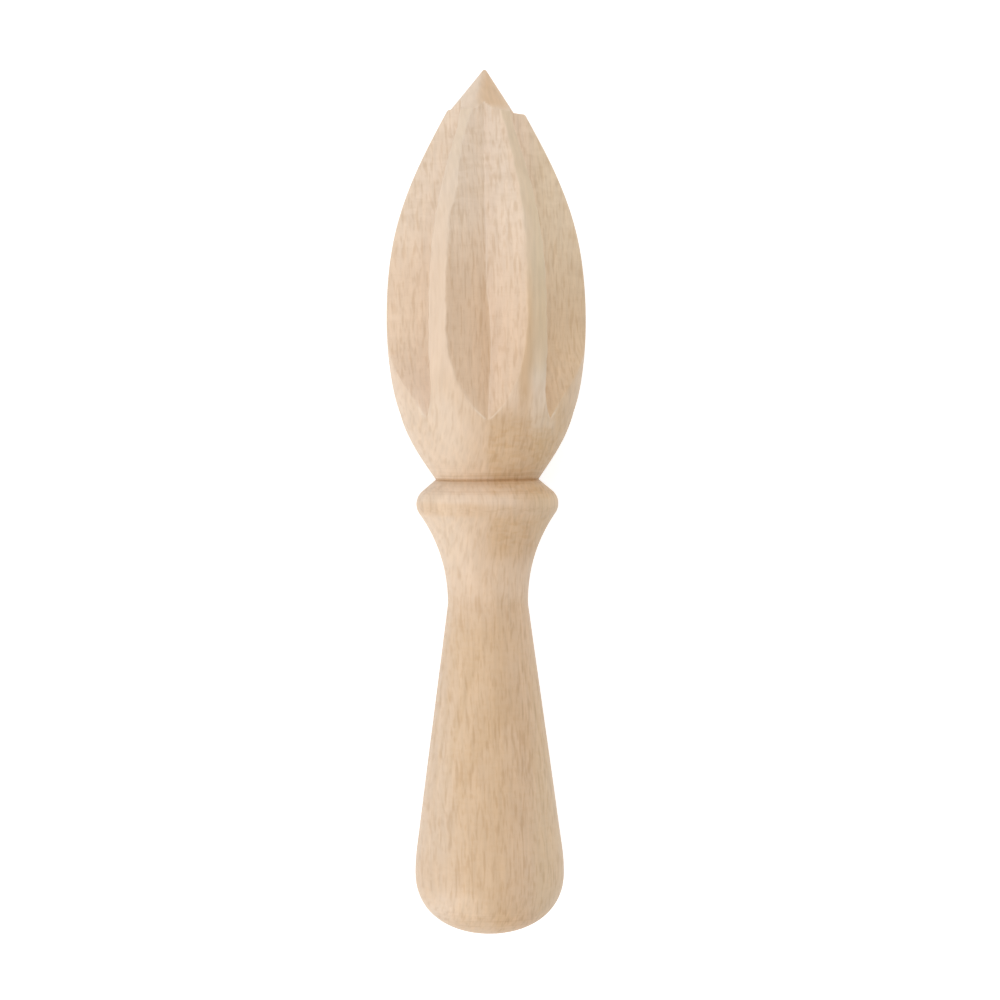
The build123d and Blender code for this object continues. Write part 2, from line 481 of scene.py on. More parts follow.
def point_outline():
    """Cone (height above its base, radius) with a rounded tip."""
    tip_centre = POINT_LENGTH - POINT_TIP_RADIUS
    slant = math.hypot(POINT_BASE_RADIUS, tip_centre)
    half = math.atan2(POINT_BASE_RADIUS, tip_centre) - math.asin(POINT_TIP_RADIUS / slant)
    end = (tip_centre + POINT_TIP_RADIUS * math.sin(half), POINT_TIP_RADIUS * math.cos(half))
    side = np.linspace((0, POINT_BASE_RADIUS), end, CONE_ROWS)
    tip = arc(end, -half, POINT_TIP_RADIUS, half - math.pi / 2, TIP_ROWS)
    return np.concatenate([side, tip[1:]])


def head_rows():
    """Heights of the mesh rows on the head, closer together where the flutes run out."""
    ends = [*[start for start, _ in HEAD_STRETCHES[1:]], SHOULDER_S]
    rows = [
        np.arange(start, end - step / 2, step)
        for (start, step), end in zip(HEAD_STRETCHES, ends)
    ]
    return np.concatenate([*rows, [SHOULDER_S]])


def flute_middle(flute):
    """Angle round the axis at which a flute lies, the front one first."""
    return FRONT_ANGLE + flute * FLUTE_PITCH


def place_round(s, radius, angle):
    """Points at a height, radius and angle round the axis."""
    return np.stack((radius * np.cos(angle), radius * np.sin(angle), s + 0 * angle), axis=-1)


def corner_height(local, flute, base, along):
    """Where each column reaches the leaning plane that the point stands on."""
    s = np.full(local.shape, SHOULDER_S)
    for _ in range(CORNER_ROUNDS):
        spot = place_round(s, fluted_radius(s, local, flute), flute_middle(flute) + local)
        s = s - (spot - base) @ along / along[2]
    return s


def surface_shares(s, angle, flute):
    """How far each point lies in a flute, how near the rim of its foot, and its painted light."""
    cut, outer, width = cut_and_outer(s, angle, flute)
    fluted = np.clip((outer - cut) / FLUTED_DEPTH, 0, 1)
    reach = RIM_WIDTH * between(RIM_NARROW_SHARE, 1, ease(width / RIM_FULL_WIDTH))
    foot = between(RIM_ABOVE_FOOT, 1, ease((GROOVE_S + RIM_TOP - s) / RIM_FADE_LENGTH))
    rim = np.exp(-(((cut - outer) / reach) ** 2)) * ease(width / RIM_SHOWN_WIDTH) * foot
    on_rib = (1 - fluted) * ease((s - GROOVE_S - RIB_TONE_START) / RIB_TONE_LENGTH)
    painted_light = fluted * flank_painted_light(s, angle, flute) + on_rib * rib_painted_light(s, angle, flute)
    return np.array((fluted, rim, painted_light))


def head_grid():
    """Mesh rows of the head up to the corner of its shoulder, and its points' surface shares."""
    s = head_rows()
    base, _, _, along = point_frame()
    points, shares = [], []
    for flute in range(FLUTE_COUNT):
        middle = flute_middle(flute)
        local = flute_columns(s, flute)
        top = local[-1]
        end = corner_height(top, flute, base, along)
        leaning = ease((s - SHOULDER_S + LEANING_LENGTH) / LEANING_LENGTH)[:, None]
        height = s[:, None] + (end - CORNER - SHOULDER_S) * leaning
        rows = place_round(height, fluted_radius(height, local, flute), middle + local)
        corner = place_round(end, fluted_radius(end, top, flute), middle + top)
        points.append(np.concatenate([rows, corner[None]]))
        share = surface_shares(height, local, flute)
        shares.append(np.concatenate([share, share[:, -1:]], axis=1))
    return np.concatenate(points, axis=1), np.concatenate(shares, axis=2)


def handle_grid(angles):
    """Mesh rows from the butt to just below the head, with columns at the angles."""
    s, radius = HANDLE[1:-1, 0], HANDLE[1:-1, 1]
    uneven = TURNING_WAVER * waver(s, TURNING_SEED, TURNING_WAVER_LENGTH)
    radius = radius * (1 + uneven * ease(radius / TURNING_WAVER_RADIUS))
    return place_round(s[:, None], radius[:, None], angles[None, :])


def cut_point(rows):
    """Lets the flutes run on over the shoulder's corner and into the point's foot."""
    columns = rows.shape[1] // FLUTE_COUNT
    shares = np.zeros((len(SHARE_NAMES), *rows.shape[:2]))
    for flute in range(FLUTE_COUNT):
        own = slice(flute * columns, (flute + 1) * columns)
        part = rows[:, own]
        across = np.hypot(part[..., 0], part[..., 1])
        angle = np.arctan2(part[..., 1], part[..., 0])
        local = (angle - flute_middle(flute) + math.pi) % (2 * math.pi) - math.pi
        kept = np.minimum(across, fluted_radius(part[..., 2], local, flute))
        fluted = np.clip((across - kept) / POINT_FLUTED_DEPTH, 0, 1)
        # The flanks' painted light and shade run on over the point's foot
        painted_light = fluted * flank_painted_light(part[..., 2], local, flute)
        shares[:, :, own] = fluted, np.zeros_like(fluted), painted_light
        part[...] = place_round(part[..., 2], kept, angle)
    return rows, shares


def point_grid(corner, below, corner_shares):
    """Mesh rows over the shoulder's corner, in to the point and up it, its tip, and the shares."""
    base, across, side, along = point_frame()
    offset = corner - base
    angles = np.arctan2(offset @ side, offset @ across)
    around = np.cos(angles)[:, None] * across + np.sin(angles)[:, None] * side
    foot = base + POINT_BASE_RADIUS * around
    inward = foot - corner
    length = np.linalg.norm(inward, axis=1, keepdims=True)
    past = corner + inward * np.minimum(CORNER / length, CORNER_SHARE)
    rows = [
        (1 - t) ** 2 * below + 2 * t * (1 - t) * corner + t**2 * past for t in CORNER_ROWS
    ]
    rows += [between(past, foot, t) for t in SHOULDER_ROWS]
    rows += [base + along * height + radius * around for height, radius in point_outline()[:-1]]
    cut_rows, cut_shares = cut_point(np.array(rows))
    cut_shares[:, : len(CORNER_ROWS)] = corner_shares[:, None]
    return cut_rows, base + along * POINT_LENGTH, cut_shares


def build_grid():
    """All rows of points from butt to tip, the two poles, and the points' surface shares."""
    head, head_shares = head_grid()
    handle = handle_grid(np.arctan2(head[0, :, 1], head[0, :, 0]))
    point, tip, point_shares = point_grid(head[-1], head[-2], head_shares[:, -1])
    rows = np.concatenate([handle, head[:-1], point])
    handle_shares = np.zeros((len(SHARE_NAMES), *handle.shape[:2]))
    shares = np.concatenate([handle_shares, head_shares[:, :-1], point_shares], axis=1)
    return rows, np.zeros(3), tip, shares


def grid_faces(row_count, column_count):
    """Quads between neighbouring rows, and the fans at both poles, facing outward."""
    index = np.arange(row_count * column_count).reshape(row_count, column_count)
    after = np.roll(index, -1, axis=1)
    quads = np.stack((index[:-1], after[:-1], after[1:], index[1:]), axis=-1).reshape(-1, 4)
    start, end = row_count * column_count, row_count * column_count + 1
    low = [(start, int(b), int(a)) for a, b in zip(index[0], after[0])]
    high = [(end, int(a), int(b)) for a, b in zip(index[-1], after[-1])]
    return [*quads.tolist(), *low, *high]


def rest_pose(points):
    """Turns the upright wood into the pose in which it lies, where the CAD part lies."""
    rib_drop = HEAD_RADIUS * math.cos(FLUTE_HALF_WIDTH)
    incline = math.atan2(rib_drop - BUTT_RADIUS, WIDEST_S - BUTT_HEIGHT)
    turned = Matrix.Rotation(incline - math.pi / 2, 3, "X")
    lying = points @ np.array(turned).T * MM
    low, high = (np.array(corner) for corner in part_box("reamer"))
    move = (low + high) / 2 - (lying.min(0) + lying.max(0)) / 2
    move[2] = low[2] - lying.min(0)[2]
    return lying + move, incline, Vector(move)


def make_reamer():
    """The reamer's mesh in its place, with its turning axis's incline and origin."""
    rows, butt_end, tip, shares = build_grid()
    points = np.concatenate([rows.reshape(-1, 3), [butt_end, tip]])
    placed, incline, origin = rest_pose(points)
    mesh = bpy.data.meshes.new("turned_beech_body")
    mesh.from_pydata(placed.tolist(), [], grid_faces(*rows.shape[:2]))
    mesh.validate()
    for name, share in zip(SHARE_NAMES, shares):
        attribute = mesh.attributes.new(name, "FLOAT", "POINT")
        attribute.data.foreach_set("value", np.append(share.ravel(), (0, 0)).astype(np.float32))
    mesh.shade_smooth()
    mesh.set_sharp_from_angle(angle=SHARP_ANGLE)
    reamer = bpy.data.objects.new("turned_beech_body", mesh)
    bpy.context.scene.collection.objects.link(reamer)
    return reamer, incline, origin


class Tree:
    """Short ways to add shader nodes and to join them, in a tree that starts out empty."""

    # Sockets of a mix node that hold its share, its two colours and their blend
    MIX_SHARE, MIX_FIRST, MIX_SECOND, MIX_RESULT = 0, 6, 7, 2

    def __init__(self, owner):
        owner.use_nodes = True
        owner.node_tree.nodes.clear()
        self.nodes = owner.node_tree.nodes
        self.links = owner.node_tree.links

    def add(self, kind, inputs=None, **settings):
        """Adds a node, with its settings and with values or sockets for its inputs."""
        node = self.nodes.new(kind)
        for name, value in settings.items():
            setattr(node, name, value)
        for key, value in (inputs or {}).items():
            if isinstance(value, bpy.types.NodeSocket):
                self.links.new(value, node.inputs[key])
            else:
                node.inputs[key].default_value = value
        return node

    def attribute(self, name):
        """Number that the mesh holds at each point."""
        return self.add("ShaderNodeAttribute", attribute_name=name).outputs["Fac"]

    def parts(self, vector):
        """The three numbers of a vector."""
        return self.add("ShaderNodeSeparateXYZ", {0: vector}).outputs[:]

    def math(self, operation, *values):
        """Result of an operation on numbers."""
        inputs = dict(enumerate(values))
        return self.add("ShaderNodeMath", inputs, operation=operation).outputs[0]

    def product(self, first, *others):
        """Product of two or more numbers."""
        for other in others:
            first = self.math("MULTIPLY", first, other)
        return first

    def largest(self, first, *others):
        """Largest of two or more numbers."""
        for other in others:
            first = self.math("MAXIMUM", first, other)
        return first

    def linear(self, value, factor, extra):
        """A factor times the value, with something added."""
        return self.math("MULTIPLY_ADD", value, factor, extra)

    def noise(self, coords, size, detail, roughness=0.5):
        """Noise whose grains have a size in millimetres along each of the three directions."""
        scaled = self.add("ShaderNodeMapping", {"Vector": coords, "Scale": [1 / a for a in size]})
        inputs = {
            "Vector": scaled.outputs[0],
            "Scale": 1.0,
            "Detail": detail,
            "Roughness": roughness,
        }
        return self.add("ShaderNodeTexNoise", inputs).outputs["Fac"]

    def span(self, value, *ends_and_levels):
        """Smooth step between two ends, from a first level to a last one."""
        names = ("From Min", "From Max", "To Min", "To Max")
        inputs = {"Value": value, **dict(zip(names, ends_and_levels))}
        node = self.add("ShaderNodeMapRange", inputs, interpolation_type="SMOOTHSTEP")
        return node.outputs["Result"]

    def step(self, value, low, high):
        """Smooth step from 0 at low to 1 at high."""
        return self.span(value, low, high, 0.0, 1.0)

    def patches(self, coords, size, detail, low, high):
        """Smooth step on a noise."""
        return self.step(self.noise(coords, size, detail), low, high)

    def window(self, value, start, end):
        """1 between a step at the start and one at the end."""
        return self.product(self.step(value, *start), self.step(value, *end))

    def zone(self, value, middle, inner, outer, level=1.0):
        """A level up to an inner distance from the middle, falling to 0 at an outer distance."""
        off = self.math("ABSOLUTE", self.math("SUBTRACT", value, middle))
        return self.span(off, outer, inner, 0.0, level)

    def mix(self, share, first, second, blend="MIX"):
        """Blend of two colours."""
        inputs = {self.MIX_SHARE: share, self.MIX_FIRST: first, self.MIX_SECOND: second}
        node = self.add("ShaderNodeMix", inputs, data_type="RGBA", blend_type=blend)
        return node.outputs[self.MIX_RESULT]

    def tint(self, colour, *tints):
        """Colour multiplied by tints, each one given as its share and its colour."""
        for share, tint in tints:
            colour = self.mix(share, colour, tint, "MULTIPLY")
        return colour


# Beech: its common wood, its pale wood that is partly painted sheen, the brown wood to the right
# of the middle, the white of painted highlights, the silvery painted sheen, and the painted
# highlight on rims
COMMON_WOOD = (0.695, 0.503, 0.342, 1)
PALE_SHEEN_WOOD = (0.765, 0.605, 0.460, 1)
BROWN_WOOD = (0.645, 0.440, 0.262, 1)
WHITE_HIGHLIGHT_WOOD = (0.900, 0.730, 0.595, 1)
SILVER_SHEEN_WOOD = (0.800, 0.690, 0.585, 1)
RIM_HIGHLIGHT_WOOD = (0.860, 0.750, 0.620, 1)
# Its tints: olive painted shade on brown flanks and ribs, on the handle, cool painted shade high
# on the right rib, painted sheen on the handle's left side, painted shade on the right side, under
# the bead and on the butt's end
OLIVE_SHADE_TINT = (0.900, 0.910, 0.860, 1)
HANDLE_TINT = (0.960, 0.940, 0.885, 1)
COOL_SHADE_TINT = (0.955, 0.990, 0.995, 1)
LEFT_SHEEN_TINT = (0.960, 0.978, 1.0, 1)
RIGHT_SHADE_TINT = (0.985, 1.0, 0.955, 1)
BEAD_TINT = (0.960, 0.915, 0.850, 1)
END_GRAIN_TINT = (0.930, 0.900, 0.860, 1)
# Tints of its figure and of the marks on it, and of the painted shade at the groove's bottom
LATE_TINT = (0.90, 0.865, 0.79, 1)
CLOUD_TINT = (0.955, 0.935, 0.915, 1)
FLECK_TINT = (0.72, 0.62, 0.48, 1)
DASH_TINT = (0.955, 0.915, 0.845, 1)
RIPPLE_TINT = (0.955, 0.945, 0.925, 1)
MARK_TINT = (0.90, 0.87, 0.82, 1)
GROOVE_SHADE_TINT = (0.84, 0.75, 0.63, 1)

# Noises of the figure: the size of their grains across, in depth and along the axis, their
# detail, and their roughness where it isn't the common one
SWAY_NOISE = ((5.0, 5.0, 24.0), 2.0)
RING_NOISE = ((9.0, 9.0, 42.0), 1.5)
CLOUD_NOISE = ((8.0, 8.0, 36.0), 2.0)
FIBRE_NOISE = ((0.70, 1.8, 9.0), 1.2, 0.55)
CROWD_NOISE = ((5.0, 5.0, 15.0), 2.0)
LONG_FLECK_NOISE = ((0.52, 2.0, 3.4), 0.5, 0.4)
SHORT_FLECK_NOISE = ((0.40, 1.5, 2.0), 0.5, 0.4)
# Patches of a noise, with the levels at which they start and are full: dashes across the grain,
# ripples in the flutes, lathe lines, ragged places, and the cutter's small cuts across the flutes
DASHES = ((2.2, 2.2, 0.8), 1.5, 0.40, 0.68)
RIPPLES = ((5.0, 5.0, 1.5), 1.0, 0.42, 0.62)
LINES = ((40.0, 40.0, 0.30), 1.0, 0.50, 0.66)
RAGGED = ((1.3, 1.3, 0.5), 1.0, 0.40, 0.62)
CROSS_CUTS = ((2.2, 2.2, 0.4), 1.0, 0.52, 0.70)

# From here on a step is where it is 0 and where it is 1, a span is a step with its two levels, a
# window is a step at each end, and a zone is its middle, how far out it is full, how far out it
# ends, and its level if that isn't 1. Places are millimetres along the axis, or across it with
# the right side above 0. Steps on a noise or a ring are levels of it.

# Brown wood: its border, how much less there is on the far right and how much more at the groove
BROWN_BORDER = (-0.6, 2.2)
BROWN_FAR_RIGHT = (6.5, 10.0)
BROWN_FAR_LOSS = 0.28
BROWN_GROOVE = (91.0, 4.0, 8.0, -0.5)
# Its levels from the neck up and on the butt's end, the gap under the bead, and its upper end
BROWN_NECK = (68.0, 80.0, 0.42, 1.0)
BROWN_BUTT = (8.0, 2.5, 0.0, 0.9)
BROWN_GAP = (84.4, 0.8, 3.0, 0.85)
BROWN_END = (106.0, 99.0)
# Brown wood on the point, with less in the flutes, and how much of all the brown shows
BROWN_POINT = (161.2, 163.2)
BROWN_POINT_BORDER = (-1.6, 0.6)
BROWN_POINT_FLUTED_LOSS = 0.85
BROWN_LEVEL = 0.8

# Pale wood, partly painted sheen: on the left, more of it from the neck to the flutes and less at
# the butt's widest ring, on the handle's lower right, and on the head's top as painted sheen
PALE_LEFT = (0.5, -9.0)
PALE_LEFT_LEVEL = 0.35
PALE_MIDDLE = ((56.0, 74.0), (110.0, 103.0))
PALE_MIDDLE_GAIN = 0.42
PALE_BUTT = (11.5, 2.5, 6.0, -0.22)
PALE_RIGHT = (5.0, 10.0)
PALE_RIGHT_ALONG = (40.0, 28.0, 0.0, 0.3)
PALE_HEAD = (116.0, 142.0, 0.0, 0.8)
# Silvery painted sheen high on the head: its border on the right, and how far that moves to the
# left
SILVER_ALONG = (130.0, 150.0, 0.0, 0.34)
SILVER_BORDER = (8.0, 6.5)
SILVER_BORDER_MOVE = (136.0, 162.0, 0.0, 4.0)
# White painted highlights on the neck, and on the bead and the butt's lower left, along the axis
# and across it
WHITE_NECK = (70.0, 2.0, 6.0)
WHITE_NECK_ACROSS = (-2.0, 3.0, 0.10, 0.22)
WHITE_SPOTS = (
    ((86.6, 1.2, 2.4), (-1.0, 5.0, 10.0, 0.30)),
    ((6.5, 1.5, 3.5), (-6.5, 3.0, 6.5, 0.22)),
)
# How far the borders between woods sway from side to side
SWAY = 4.0

# Places of the tints, among them painted sheen on the left side and painted shade on the right
# side
HANDLE_TOP = (66.0, 58.0)
HANDLE_MIDDLE = (-2.0, 2.0, 8.0)
LEFT_SIDE_TOP = (70.0, 60.0)
LEFT_SIDE = (-5.5, -9.5)
RIGHT_SIDE = (7.0, 11.0)
UNDER_BEAD = (83.9, 0.8, 1.8)
UNDER_BEAD_LEFT = (2.0, -4.0)
END_GRAIN = (7.0, 2.0)
END_GRAIN_ASIDE = (3.0, 8.0, 0.4, 1.0)
# Painted highlight in white on the palest flanks and ribs, and painted olive shade on the brownest
HIGHLIGHT_WHITE = (0.0, 1.0, 0.0, 0.4)
SHADE_OLIVE = (0.0, -1.0)
# Right of the front flute: a brown stripe of painted shade, and the rib beside it with a silvery
# painted sheen low down and a cooler painted shade higher up
SHADE_STRIPE = (7.7, 0.8, 2.1, 0.85)
SHADE_STRIPE_ALONG = ((101.0, 107.0), (134.0, 120.0))
RIGHT_RIB = (10.8, 1.6, 3.2)
LOW_RIB_SHEEN = (105.0, 4.0, 8.0, 0.3)
HIGH_RIB_SHADE = ((106.0, 112.0), (140.0, 130.0))

# The pith lies behind the reamer, so that the year rings meet the front of the handle as arches
PITH_DISTANCE = 55.0
PITH_TURN = math.radians(14.0)
# Year rings: their width, how far they sway, how far in front of the axis one of them starts,
# where late wood rises and ends in a ring, and how strong it is everywhere and in the arches
RING_WIDTH = 2.6
RING_SWAY = 1.6
ARCH_DEPTH = 11.3
LATE_WOOD = (0.20, 0.85)
RING_END = (1.0, 0.86)
RING_LEVEL = 0.14
ARCHES = (42.0, 8.0, 18.0, 0.38)
CLOUDS = (0.42, 0.66, 0.25, 0.62)
# Lightness of the fibres, as a factor and what is added
FIBRE_SHADE = (0.24, 0.88)
# Flecks: how they crowd, as a factor and what is added, how much more in the flutes, the noise
# levels of long and short ones, and how dark short ones are beside long ones
FLECK_CROWD = (0.10, -0.055)
FLUTED_CROWD = 0.010
LONG_FLECKS = (0.52, 0.76)
SHORT_FLECKS = (0.52, 0.78)
SHORT_FLECK_LEVEL = 0.7
# How dark they are: more in brown wood, less on the ribs and round the collar
FLECK_LEVEL = 0.40
BROWN_FLECK_GAIN = 0.10
LEAST_FLECK_LEVEL = 0.1
FEW_ON_RIBS = (104.0, 112.0, 0.0, 0.44)
FEW_ON_COLLAR = (88.0, 14.0, 20.0, 0.10)
# Dashes, in the brown wood from the neck to the flutes and on the handle, and ripples
BROWN_DASHES = ((72.0, 78.0), (112.0, 104.0))
HANDLE_DASHES = (76.0, 68.0, 0.0, 0.35)
RIPPLES_ALONG = (149.0, 6.0, 14.0)
# Lathe lines, with a ragged one under the bead, cross cuts, painted shade at the groove's bottom
# and painted highlights on rims
LINES_ABOVE_GROOVE = (93.8, 90.0)
LINES_BELOW_GROOVE = (84.0, 88.0, 0.0, 0.5)
LINES_ON_BUTT = (6.5, 3.0, 0.0, 0.8)
BEAD_LINE = (83.8, 0.2, 0.8, 0.6)
CROSS_CUT_LEVEL = 0.2
GROOVE_SHADE = (GROOVE_S, 0.08, 0.50)
RIM_HIGHLIGHT_LEVEL = 0.5

# Relief: how far fibres stand out, and flecks and marks are sunk, beside its whole height
FIBRE_RELIEF = 0.5
FLECK_RELIEF = -0.35
MARK_RELIEF = -0.6
RELIEF_STRENGTH = 0.5
RELIEF_HEIGHT = 0.05 * MM
# Roughness, as a factor for the fibres and what is added
ROUGHNESS = (0.12, 0.42)


def wood_coordinates(tree, incline, origin):
    """Place on the turning axis in millimetres, and the same turned to face the pith."""
    inputs = {
        "Vector": tree.add("ShaderNodeTexCoord").outputs["Object"],
        "Location": origin,
        "Rotation": (incline - math.pi / 2, 0, 0),
        "Scale": (MM, MM, MM),
    }
    turned = tree.add("ShaderNodeMapping", inputs, vector_type="TEXTURE").outputs[0]
    inputs = {"Vector": turned, "Rotation": (0, 0, PITH_TURN)}
    return turned, tree.add("ShaderNodeMapping", inputs, vector_type="TEXTURE").outputs[0]


def brown_share(tree, swayed, along, fluted):
    """1 in the brown wood right of the middle, from the neck to the flutes, and less elsewhere."""
    far_loss = tree.math("ADD", tree.zone(along, *BROWN_GROOVE), BROWN_FAR_LOSS)
    far = tree.product(tree.step(swayed, *BROWN_FAR_RIGHT), far_loss)
    right = tree.product(tree.step(swayed, *BROWN_BORDER), tree.math("SUBTRACT", 1.0, far))
    ends = tree.math("ADD", tree.span(along, *BROWN_NECK), tree.span(along, *BROWN_BUTT))
    outside_gap = tree.math("SUBTRACT", 1.0, tree.zone(along, *BROWN_GAP))
    body = tree.product(right, ends, outside_gap, tree.step(along, *BROWN_END))
    uncut = tree.linear(fluted, -BROWN_POINT_FLUTED_LOSS, 1.0)
    border = tree.step(swayed, *BROWN_POINT_BORDER)
    point = tree.product(border, tree.step(along, *BROWN_POINT), uncut)
    return tree.largest(body, point)


def pale_sheen_share(tree, swayed, along):
    """How much of the wood is pale, partly paler wood and partly painted sheen on the left and the
    head's top.
    """
    level = tree.linear(tree.window(along, *PALE_MIDDLE), PALE_MIDDLE_GAIN, PALE_LEFT_LEVEL)
    level = tree.math("ADD", level, tree.zone(along, *PALE_BUTT))
    left = tree.product(tree.step(swayed, *PALE_LEFT), level)
    right = tree.product(tree.step(swayed, *PALE_RIGHT), tree.span(along, *PALE_RIGHT_ALONG))
    return tree.largest(left, right, tree.span(along, *PALE_HEAD))


def silver_sheen_share(tree, swayed, along):
    """How much silvery painted sheen the wood has high on the head."""
    moved = tree.math("ADD", swayed, tree.span(along, *SILVER_BORDER_MOVE))
    return tree.product(tree.span(along, *SILVER_ALONG), tree.step(moved, *SILVER_BORDER))


def highlight_share(tree, swayed, along):
    """How much white painted highlight lies at the neck, on the collar's bead and on the butt's
    lower left.
    """
    neck = tree.product(tree.zone(along, *WHITE_NECK), tree.span(swayed, *WHITE_NECK_ACROSS))
    spots = [
        tree.product(tree.zone(along, *zone_along), tree.zone(swayed, *zone_across))
        for zone_along, zone_across in WHITE_SPOTS
    ]
    return tree.largest(neck, *spots)


def place_tints(tree, across, swayed, along):
    """Tints of the handle, painted sheen on the left side and painted shade on the right, of the
    bead's underside and of the butt's end.
    """
    handle = tree.product(tree.step(along, *HANDLE_TOP), tree.zone(swayed, *HANDLE_MIDDLE))
    # Painted sheen on the handle's left side
    left = tree.product(tree.step(along, *LEFT_SIDE_TOP), tree.step(across, *LEFT_SIDE))
    bead = tree.product(tree.zone(along, *UNDER_BEAD), tree.step(swayed, *UNDER_BEAD_LEFT))
    aside = tree.span(tree.math("ABSOLUTE", across), *END_GRAIN_ASIDE)
    return [
        (handle, HANDLE_TINT),
        (left, LEFT_SHEEN_TINT),
        # Painted shade on the right side
        (tree.step(across, *RIGHT_SIDE), RIGHT_SHADE_TINT),
        (bead, BEAD_TINT),
        (tree.product(tree.step(along, *END_GRAIN), aside), END_GRAIN_TINT),
    ]


def ring_shade(tree, pithward):
    """0 in the early wood of a year ring, rising to 1 in its late wood."""
    across, inward, _ = tree.parts(pithward)
    depth = tree.math("SUBTRACT", tree.product(across, across, 0.5 / PITH_DISTANCE), inward)
    swayed = tree.linear(tree.noise(pithward, *RING_NOISE), RING_SWAY, depth)
    first_ring = ARCH_DEPTH + RING_SWAY / 2
    ring = tree.math("DIVIDE", tree.math("SUBTRACT", swayed, first_ring), RING_WIDTH)
    within = tree.math("FRACT", ring)
    return tree.product(tree.step(within, *LATE_WOOD), tree.step(within, *RING_END))


def figure_tints(tree, pithward, along):
    """Tints of the year rings, which are strongest in the handle's arches, and of the clouds."""
    level = tree.math("ADD", tree.zone(along, *ARCHES), RING_LEVEL)
    rings = tree.product(ring_shade(tree, pithward), level)
    clouds = tree.span(tree.noise(pithward, *CLOUD_NOISE), *CLOUDS)
    return [(rings, LATE_TINT), (clouds, CLOUD_TINT)]


def wood_tone(tree, pithward, across, along, fluted):
    """Colour of the wood without its fine figure, with its painted sheen, highlights and shade,
    and where it is brown.
    """
    sway = tree.linear(tree.noise(pithward, *SWAY_NOISE), SWAY, -SWAY / 2)
    swayed = tree.math("ADD", sway, across)
    brown = brown_share(tree, swayed, along, fluted)
    # Pale wood is partly painted sheen; the silvery and white wood are painted sheen and
    # highlights
    colour = tree.mix(pale_sheen_share(tree, swayed, along), COMMON_WOOD, PALE_SHEEN_WOOD)
    colour = tree.mix(silver_sheen_share(tree, swayed, along), colour, SILVER_SHEEN_WOOD)
    colour = tree.mix(tree.product(brown, BROWN_LEVEL), colour, BROWN_WOOD)
    colour = tree.mix(highlight_share(tree, swayed, along), colour, WHITE_HIGHLIGHT_WOOD)
    tints = place_tints(tree, across, swayed, along) + figure_tints(tree, pithward, along)
    return tree.tint(colour, *tints), brown


def flanks_and_ribs(tree, colour, across, along, painted_light, unfluted):
    """The wood's colour with painted highlights and shade on the flutes' flanks and the ribs
    between them.
    """
    # Painted highlight in white where the painted light is above 0; painted olive shade below 0 at
    # the end
    colour = tree.mix(tree.span(painted_light, *HIGHLIGHT_WHITE), colour, WHITE_HIGHLIGHT_WOOD)
    # Painted shade: a brown stripe on the rib right of the front flute
    shade_stripe = tree.product(tree.zone(across, *SHADE_STRIPE), tree.window(along, *SHADE_STRIPE_ALONG), unfluted)
    colour = tree.mix(shade_stripe, colour, BROWN_WOOD)
    # Painted light on that rib: silvery sheen low down, cooler shade higher up
    right_rib = tree.product(tree.zone(across, *RIGHT_RIB), unfluted)
    low_rib_sheen = tree.product(tree.zone(along, *LOW_RIB_SHEEN), right_rib)
    colour = tree.mix(low_rib_sheen, colour, SILVER_SHEEN_WOOD)
    high_rib_shade = tree.product(tree.window(along, *HIGH_RIB_SHADE), right_rib)
    return tree.tint(colour, (high_rib_shade, COOL_SHADE_TINT), (tree.step(painted_light, *SHADE_OLIVE), OLIVE_SHADE_TINT))


def fleck_share(tree, pithward, fluted):
    """1 in the wood's rays, which show as short dark dashes, more of them in the flutes."""
    crowd = tree.linear(tree.noise(pithward, *CROWD_NOISE), *FLECK_CROWD)
    crowded = tree.linear(fluted, FLUTED_CROWD, crowd)
    long_rays = tree.math("ADD", tree.noise(pithward, *LONG_FLECK_NOISE), crowded)
    short_rays = tree.math("ADD", tree.noise(pithward, *SHORT_FLECK_NOISE), crowded)
    short_flecks = tree.product(tree.step(short_rays, *SHORT_FLECKS), SHORT_FLECK_LEVEL)
    return tree.largest(tree.step(long_rays, *LONG_FLECKS), short_flecks)


def fleck_level(tree, along, brown, unfluted):
    """How dark the flecks are."""
    on_collar = tree.zone(along, *FEW_ON_COLLAR)
    loss = tree.linear(tree.span(along, *FEW_ON_RIBS), unfluted, on_collar)
    level = tree.math("SUBTRACT", tree.linear(brown, BROWN_FLECK_GAIN, FLECK_LEVEL), loss)
    return tree.largest(level, LEAST_FLECK_LEVEL)


def dash_share(tree, turned, along, brown):
    """1 in the dashes across the grain."""
    on_brown = tree.product(brown, tree.window(along, *BROWN_DASHES))
    where = tree.largest(on_brown, tree.span(along, *HANDLE_DASHES))
    return tree.product(where, tree.patches(turned, *DASHES))


def ripple_share(tree, turned, along, fluted):
    """1 in the ripples of the flutes, high on the head."""
    return tree.product(tree.patches(turned, *RIPPLES), fluted, tree.zone(along, *RIPPLES_ALONG))


def tool_marks(tree, turned, along, fluted):
    """1 on the lines that the lathe tool has left, and less on the cutter's in the flutes."""
    above = tree.math("GREATER_THAN", along, GROOVE_S)
    below = tree.math("LESS_THAN", along, GROOVE_S)
    where = tree.largest(
        tree.product(tree.step(along, *LINES_ABOVE_GROOVE), above),
        tree.product(tree.span(along, *LINES_BELOW_GROOVE), below),
        tree.span(along, *LINES_ON_BUTT),
    )
    return tree.largest(
        tree.product(tree.patches(turned, *LINES), where),
        tree.product(tree.zone(along, *BEAD_LINE), tree.patches(turned, *RAGGED)),
        tree.product(tree.patches(turned, *CROSS_CUTS), fluted, CROSS_CUT_LEVEL),
    )


